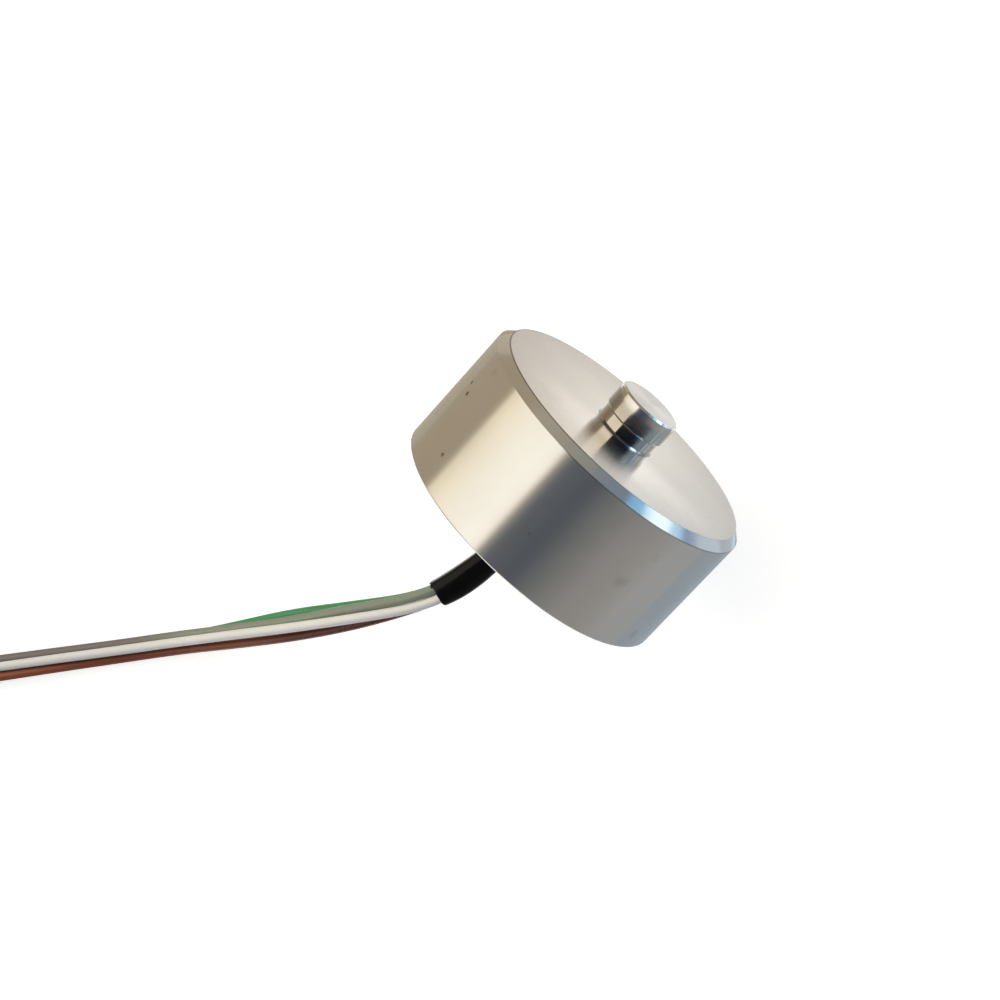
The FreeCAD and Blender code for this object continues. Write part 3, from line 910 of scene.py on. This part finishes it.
@dataclass
class ShrinkSleeve:
    """Heat-shrink tube drawn down on the four leads, with a soft bulge before its cut end.

    Lengths are in millimetres. The half widths are those of its flat sides along the route.
    """

    harness: LeadHarness
    wall: float = 0.06
    depth: float = 0.85
    cut_place: Vector = field(default_factory=lambda: Vector((-3.66, 0.96, -0.25)))
    cut_normal: Vector = field(default_factory=lambda: Vector((-0.95, 0.15, 0.08)))
    half_widths: tuple[float, ...] = (0.415, 0.42, 0.52, 0.4, 0.44)
    fullness: float = 0.85
    outline_steps: int = 6
    length_steps: int = 14
    rim: float = 0.026
    rim_steps: int = 3
    sharp_angle: float = 50.0

    def middle_line(self) -> list[Vector]:
        """Control points of the sleeve's middle, in metres."""
        leads = [
            self.harness.stem_points(lead) + self.harness.run_points(lead)[:1] for lead in Lead
        ]
        return [sum(places, Vector()) / len(leads) * MM for places in zip(*leads)]

    def outline(self) -> Object:
        """Make the rounded square that the tube takes from the leads.

        Returns:
            The closed curve, one unit to each side.
        """
        bpy.ops.curve.primitive_bezier_circle_add(radius=1.0)
        profile = bpy.context.active_object
        for point in profile.data.splines[0].bezier_points:
            for handle in ("handle_left", "handle_right"):
                setattr(point, handle + "_type", "FREE")
                away = (getattr(point, handle) - point.co).normalized() * self.fullness
                setattr(point, handle, point.co + away)
        profile.data.resolution_u = self.outline_steps
        return profile

    def cut(self, place: Vector, normal: Vector) -> None:
        """Cut the tube off beyond a plane.

        Args:
            place: a point of the plane in millimetres.
            normal: the side that is cut away.
        """
        bpy.ops.object.mode_set(mode="EDIT")
        bpy.ops.mesh.select_all(action="SELECT")
        bpy.ops.mesh.bisect(plane_co=place * MM, plane_no=normal, clear_outer=True)
        bpy.ops.object.mode_set(mode="OBJECT")

    def tube(self) -> Object:
        """Draw the outline along the leads.

        Returns:
            The tube's mesh object, still without thickness.
        """
        deselect_all()
        profile = self.outline()
        deselect_all()
        sleeve = smooth_curve("sleeve_tube", self.middle_line(), 0.0)
        curve = sleeve.data
        curve.twist_mode = "Z_UP"
        curve.resolution_u = self.length_steps
        curve.use_fill_caps = False
        curve.bevel_mode = "OBJECT"
        curve.bevel_object = profile
        for point, width in zip(curve.splines[0].points, self.half_widths):
            point.radius = width * MM
        sleeve.select_set(True)
        bpy.context.view_layer.objects.active = sleeve
        bpy.ops.object.convert(target="MESH")
        bpy.data.objects.remove(profile)
        return sleeve

    def build(self, material: Material) -> Object:
        """Make the sleeve in place of its CAD node.

        Args:
            material: the sleeve's finish.

        Returns:
            The sleeve's mesh object.
        """
        sleeve = self.tube()
        self.cut(Vector((self.depth, 0.0, 0.0)), Vector((1.0, 0.0, 0.0)))
        self.cut(self.cut_place, self.cut_normal)
        sharp = math.radians(self.sharp_angle)
        shell = sleeve.modifiers.new("wall", "SOLIDIFY")
        shell.thickness = self.wall * MM
        shell.offset = -1.0
        rim = sleeve.modifiers.new("rim", "BEVEL")
        rim.limit_method = "ANGLE"
        rim.angle_limit = sharp
        rim.width = self.rim * MM
        rim.segments = self.rim_steps
        for name in ("wall", "rim"):
            bpy.ops.object.modifier_apply(modifier=name)
        bpy.ops.object.shade_smooth_by_angle(angle=sharp)
        sleeve.data.materials.append(material)
        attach(sleeve, BODY)
        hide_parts("shrink_sleeve")
        return sleeve


@dataclass(frozen=True)
class Dressing:
    """Which finish each carried-over CAD node wears."""

    nodes: dict[str, Object]

    def wear(self, material: Material, *names: str) -> None:
        """Put one finish on some nodes.

        Args:
            material: the finish.
            names: the nodes.
        """
        for name in names:
            slots = self.nodes[name].data.materials
            slots.clear()
            slots.append(material)
            LOG.info("%s wears %s", name, material.name)


@dataclass(frozen=True)
class Card:
    """A card of the studio that only shows in reflections. Millimetres and degrees."""

    name: str
    size: tuple[float, float]
    place: Place
    turn: Turns
    colour: Colour
    far_colour: Colour | None = None

    def build(self) -> None:
        """Set the card up, with its colour turning to the far one along its own X."""
        deselect_all()
        bpy.ops.mesh.primitive_plane_add(
            size=1.0,
            location=[along * MM for along in self.place],
            rotation=[math.radians(angle) for angle in self.turn],
        )
        card = bpy.context.active_object
        card.name = self.name
        card.scale = (self.size[0] * MM, self.size[1] * MM, 1.0)
        material = bpy.data.materials.new(self.name)
        bench = bare_tree(material)
        glow = bench.add("ShaderNodeEmission")
        across = bench.split(bench.add("ShaderNodeTexCoord").outputs["Object"]).outputs["X"]
        share = bench.span(across, -0.5, 0.5)
        far = self.far_colour or self.colour
        bench.join(bench.blend(share, self.colour, far), glow.inputs["Color"])
        bench.join(glow.outputs[0], bench.add("ShaderNodeOutputMaterial").inputs["Surface"])
        card.data.materials.append(material)
        card.visible_camera = False
        card.visible_diffuse = False
        card.visible_shadow = False


@dataclass(frozen=True)
class Studio:
    """Bench, surrounding light and camera. Lengths are in millimetres, angles in degrees.

    The bands lie by their angle round the load axis, from straight up towards +Y, and the front
    ones by their Y. A start says over which X of the direction a set takes over.
    """

    bench_height: float = -5.0
    bench_size: float = 900.0
    bench_colour: Colour = (0.8, 0.8, 0.8)
    card_lift: float = 0.002
    camera_place: Place = (25.001, 1.47, 75.008)
    camera_tilt: float = 18.337
    camera_roll: float = 42.458
    lens: float = 88.608
    sensor: float = 36.0
    clip: tuple[float, float] = (1.0, 10000.0)
    level: float = 1.7
    glow: float = 0.72
    bands: Stops = (
        (-92.0, (0.29, 0.287, 0.281)),
        (-70.0, (0.237, 0.23, 0.225)),
        (-50.0, (0.213, 0.206, 0.206)),
        (-30.0, (0.134, 0.141, 0.143)),
        (-10.0, (0.048, 0.059, 0.081)),
        (7.0, (0.05, 0.061, 0.083)),
        (14.0, (0.073, 0.082, 0.103)),
        (18.0, (0.167, 0.162, 0.159)),
        (20.0, (0.277, 0.251, 0.226)),
        (21.6, (0.457, 0.415, 0.365)),
        (23.3, (0.738, 0.683, 0.616)),
        (26.0, (0.9, 0.86, 0.78)),
        (34.0, (0.911, 0.889, 0.823)),
        (60.0, (0.859, 0.811, 0.7)),
        (72.0, (0.818, 0.746, 0.601)),
        (84.5, (0.69, 0.61, 0.465)),
        (87.5, (0.36, 0.305, 0.215)),
        (91.0, (0.29, 0.24, 0.17)),
        (110.0, (0.29, 0.24, 0.17)),
    )
    over_start: tuple[float, float] = (-0.16, 0.06)
    over: Stops = (
        (-92.0, (0.2, 0.262, 0.33)),
        (-66.0, (0.2, 0.262, 0.33)),
        (-48.0, (0.012, 0.017, 0.03)),
        (-30.0, (0.004, 0.006, 0.014)),
        (20.0, (0.004, 0.006, 0.014)),
        (26.0, (1.1, 0.99, 0.825)),
        (78.0, (1.07, 0.964, 0.813)),
        (80.5, (0.33, 0.29, 0.21)),
        (110.0, (0.33, 0.29, 0.21)),
    )
    front_start: tuple[float, float] = (0.5, 0.75)
    front: Stops = (
        (-0.3, (0.14, 0.18, 0.24)),
        (-0.15, (0.15, 0.185, 0.235)),
        (0.0, (0.194, 0.209, 0.206)),
        (0.5, (0.3, 0.265, 0.21)),
    )

    def build(self) -> None:
        """Set up the camera, the bench, the light and the cards."""
        self.camera()
        self.bench()
        self.surround()
        self.cards()

    def camera(self) -> None:
        """Place the camera over the cell, tilted along the load axis and rolled."""
        tilt = math.radians(self.camera_tilt)
        roll = math.radians(self.camera_roll)
        level = Vector((0.0, -1.0, 0.0))
        rise = Vector((math.cos(tilt), 0.0, -math.sin(tilt)))
        back = Vector((math.sin(tilt), 0.0, math.cos(tilt)))
        right = level * math.cos(roll) + rise * math.sin(roll)
        top = rise * math.cos(roll) - level * math.sin(roll)
        data = bpy.data.cameras.new("camera")
        data.lens = self.lens
        data.sensor_width = self.sensor
        data.clip_start, data.clip_end = (distance * MM for distance in self.clip)
        camera = bpy.data.objects.new("camera", data)
        turn = Matrix((right, top, back)).transposed().to_4x4()
        camera.matrix_world = Matrix.Translation(Vector(self.camera_place) * MM) @ turn
        bpy.context.scene.collection.objects.link(camera)
        bpy.context.scene.camera = camera

    def bench(self) -> None:
        """Lay the pale bench, white to the eye and in reflections, with a soft shadow."""
        deselect_all()
        bpy.ops.mesh.primitive_plane_add(
            size=self.bench_size * MM, location=(0.0, 0.0, self.bench_height * MM)
        )
        plane = bpy.context.active_object
        plane.name = "bench"
        material = bpy.data.materials.new("white_bench")
        bench = bare_tree(material)
        out = bench.add("ShaderNodeOutputMaterial")
        matt = bench.add("ShaderNodeBsdfDiffuse")
        matt.inputs["Color"].default_value = rgba(self.bench_colour)
        glow = bench.add("ShaderNodeEmission")
        path = bench.add("ShaderNodeLightPath")
        seen = bench.math("MAXIMUM", path.outputs["Is Camera Ray"], path.outputs["Is Glossy Ray"])
        seen = bench.math("MAXIMUM", seen, path.outputs["Is Transmission Ray"])
        bench.join(bench.math("MULTIPLY", seen, self.glow), glow.inputs["Strength"])
        both = bench.add("ShaderNodeAddShader")
        bench.join(matt.outputs[0], both.inputs[0])
        bench.join(glow.outputs[0], both.inputs[1])
        bench.join(both.outputs[0], out.inputs["Surface"])
        plane.data.materials.append(material)

    def surround(self) -> None:
        """Light the cell with long soft panels that lie along the load axis.

        One set of bands lies towards the leads, the next takes over past the cell's middle, and
        the last lies straight in front of the button.
        """
        world = bpy.data.worlds.new("studio")
        bpy.context.scene.world = world
        bench = bare_tree(world)
        out = bench.add("ShaderNodeOutputWorld")
        light = bench.add("ShaderNodeBackground")
        bench.join(light.outputs[0], out.inputs["Surface"])
        axes = bench.split(bench.add("ShaderNodeTexCoord").outputs["Generated"])
        angle = bench.math("ARCTAN2", axes.outputs["Y"], axes.outputs["Z"])
        turn = bench.span(angle, -math.pi, math.pi, easing=Easing.EVEN)
        sides = self.ramp(bench, turn, self.bands, -FULL_TURN / 2, FULL_TURN / 2)
        above = self.ramp(bench, turn, self.over, -FULL_TURN / 2, FULL_TURN / 2)
        across = bench.span(axes.outputs["Y"], -1.0, 1.0, easing=Easing.EVEN)
        ahead = self.ramp(bench, across, self.front, -1.0, 1.0)
        over = bench.span(axes.outputs["X"], *self.over_start)
        front = bench.span(axes.outputs["X"], *self.front_start)
        sky = bench.blend(front, bench.blend(over, sides, above), ahead)
        bench.join(sky, light.inputs["Color"])
        light.inputs["Strength"].default_value = self.level

    @staticmethod
    def ramp(
        bench: NodeBench, value: NodeSocket, stops: Stops, low: float, high: float
    ) -> NodeSocket:
        """Lay bands of light along a value.

        Args:
            bench: the tree's helper.
            value: the value from 0 to 1.
            stops: places and colours of the bands.
            low: the place that a value of 0 stands for.
            high: the place that a value of 1 stands for.

        Returns:
            The bands' colour socket.
        """
        node = bench.add("ShaderNodeValToRGB")
        bench.join(value, node.inputs["Fac"])
        elements = node.color_ramp.elements
        while len(elements) < len(stops):
            elements.new(0.5)
        for element, (stop, colour) in zip(elements, stops):
            element.position = (stop - low) / (high - low)
            element.color = rgba(colour)
        return node.outputs["Color"]

    def cards(self) -> None:
        """Set up the cards that the steel reflects."""
        low = self.bench_height + self.card_lift
        over = low + self.card_lift
        flat = (0.0, 0.0, 0.0)
        aside = (90.0, 0.0, 55.2)
        askew = (0.0, 0.0, -46.0)
        ahead = (0.0, 0.0, 90.0)
        for card in (
            Card("warm_card", (850.0, 440.0), (25.0, 225.6, low), flat, (0.46, 0.375, 0.265)),
            Card("warm_strip", (404.0, 5.4), (-198.0, 8.3, over), flat, (0.5, 0.44, 0.345)),
            Card("warm_front", (60.0, 5.4), (34.6, 8.3, over), flat, (0.6, 0.535, 0.42)),
            Card("grey_card", (404.0, 440.0), (-198.0, -225.6, low), flat, (0.475, 0.485, 0.5)),
            Card("grey_strip", (404.0, 14.4), (-198.0, -12.8, over), flat, (0.395, 0.455, 0.525)),
            Card("pale_card", (446.0, 440.0), (227.0, -225.6, low), flat, (0.74, 0.86, 1.0)),
            Card("pale_strip", (60.0, 4.2), (34.6, -7.7, over), flat, (0.6, 0.65, 0.72)),
            Card("shade_card", (14.0, 26.0), (20.1, -20.9, over), askew,
                 (0.52, 0.62, 0.85), (0.14, 0.28, 0.52)),
            Card("table_glow", (24.0, 28.0), (33.4, -34.5, over), askew,
                 (0.62, 1.05, 1.5), (1.2, 1.65, 1.9)),
            Card("front_left", (5.6, 36.0), (22.6, 2.8, low), ahead,
                 (1.14, 1.105, 1.06), (0.77, 0.725, 0.69)),
            Card("front_right", (5.6, 36.0), (22.6, -2.8, low), ahead,
                 (0.79, 0.8, 0.81), (1.14, 1.12, 1.1)),
            Card("near_left", (5.6, 4.4), (8.7, 2.8, over), ahead,
                 (1.6, 1.555, 1.48), (0.92, 0.86, 0.81)),
            Card("near_right", (5.6, 4.4), (8.7, -2.8, over), ahead,
                 (1.08, 1.09, 1.11), (1.68, 1.665, 1.65)),
            Card("dark_card", (160.0, 135.0), (78.0, -16.5, 100.0), flat, (0.008, 0.011, 0.026)),
            Card("blue_card", (26.0, 23.0), (45.4, -31.0, 6.5), aside,
                 (0.7, 1.1, 1.4), (0.33, 0.76, 1.3)),
            Card("window_card", (12.4, 13.8), (43.0, -29.7, 2.0), aside,
                 (1.9, 2.2, 2.3), (1.45, 1.9, 2.15)),
        ):
            card.build()


def dress(dressing: Dressing, effects: SharedEffects) -> None:
    """Put the finishes on the CAD nodes that are carried over.

    Args:
        dressing: the nodes.
        effects: the shared node groups.
    """
    steel = TurnedSteel("turned_stainless")
    dressing.wear(steel.material(effects), "spring_body", "base_cover")
    tinned = ["lead_cores", "tinned_tips"]
    soldered = ["board_solder", "gauge_solder"]
    chips = ["balance_resistor", "span_resistor"]
    jumpers = [f"jumper_wire_{number}" for number in (1, 2, 3, 4)]
    for name, colour, worn_and_painted_light, roughness, metallic, nodes in (
        ("potting_epoxy", (0.02, 0.02, 0.021), (0.035, 0.034, 0.033), 0.25, 0.0, ["exit_bead"]),
        ("tinned_copper", (0.75, 0.74, 0.71), (0.62, 0.6, 0.56), 0.3, 1.0, tinned),
        ("pad_copper", (0.8, 0.45, 0.28), (0.62, 0.33, 0.2), 0.3, 1.0, ["terminal_pads"]),
        ("solder", (0.74, 0.74, 0.73), (0.6, 0.6, 0.6), 0.22, 1.0, soldered),
        ("glass_laminate", (0.05, 0.2, 0.09), (0.08, 0.26, 0.13), 0.4, 0.0, ["terminal_board"]),
        ("chip_body", (0.02, 0.02, 0.025), (0.05, 0.05, 0.05), 0.35, 0.0, chips),
        ("enamelled_wire", (0.62, 0.25, 0.1), (0.5, 0.18, 0.07), 0.25, 1.0, jumpers),
        ("polyimide", (0.62, 0.28, 0.03), (0.7, 0.35, 0.06), 0.3, 0.0, ["gauge_backing"]),
        ("etched_foil", (0.62, 0.55, 0.46), (0.5, 0.44, 0.36), 0.28, 1.0, ["gauge_foil"]),
        ("gauge_coating", (0.6, 0.54, 0.42), (0.68, 0.62, 0.5), 0.3, 0.0, ["gauge_coating"]),
        ("tie_tape", (0.75, 0.68, 0.45), (0.8, 0.74, 0.52), 0.5, 0.0, ["coil_tie"]),
    ):
        finish = PlainFinish(name, colour, worn_and_painted_light, roughness, metallic)
        dressing.wear(finish.material(effects), *nodes)


def lay_leads(effects: SharedEffects) -> list[Object]:
    """Lay the four leads and draw the sleeve down on them.

    Args:
        effects: the shared node groups.

    Returns:
        The new pieces.
    """
    harness = LeadHarness()
    # The black lead is painted dark grey for its sheen, and turns greener grey near the sleeve as
    # a painted highlight.
    black_with_painted_sheen, painted_sheen_grey = (0.2, 0.178, 0.177), (0.27, 0.31, 0.25)
    red, red_shaded = (0.31, 0.09, 0.05), (0.15, 0.035, 0.025)
    insulation = {
        Lead.BLACK: PlainFinish("black_insulation", black_with_painted_sheen, painted_sheen_grey, 0.35, painted_light_fade=(-15.0, -12.0)),
        Lead.WHITE: PlainFinish("white_insulation", (0.93, 0.945, 0.97), (0.9, 0.91, 0.92), 0.32),
        Lead.GREEN: PlainFinish("green_insulation", (0.045, 0.29, 0.115), (0.06, 0.34, 0.15), 0.3),
        # The red lead turns darker near the sleeve: painted shade.
        Lead.RED: PlainFinish(
            "red_insulation", red, red_shaded, 0.3, specular=0.3, painted_light_fade=(-11.7, -9.0)
        ),
    }
    cords = [harness.build(lead, finish.material(effects)) for lead, finish in insulation.items()]
    shrink = PlainFinish(
        "black_shrink",
        (0.003, 0.003, 0.003),
        (0.006, 0.006, 0.006),
        0.12,
        specular=0.14,
        mottle_scale=1100.0,
        bump_depth=14e-6,
        bump_strength=0.6,
    )
    return [*cords, ShrinkSleeve(harness).build(shrink.material(effects))]


def main() -> None:
    """Load the frame, then build and dress every piece."""
    logging.basicConfig(level=logging.INFO, format="%(name)s: %(message)s")
    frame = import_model()
    bpy.context.scene.view_settings.view_transform = "Standard"
    effects = SharedEffects.build()
    Studio().build()
    dress(Dressing(frame["nodes"]), effects)
    for piece in lay_leads(effects):
        LOG.info("%s is laid", piece.name)


if __name__ == "__main__":
    main()
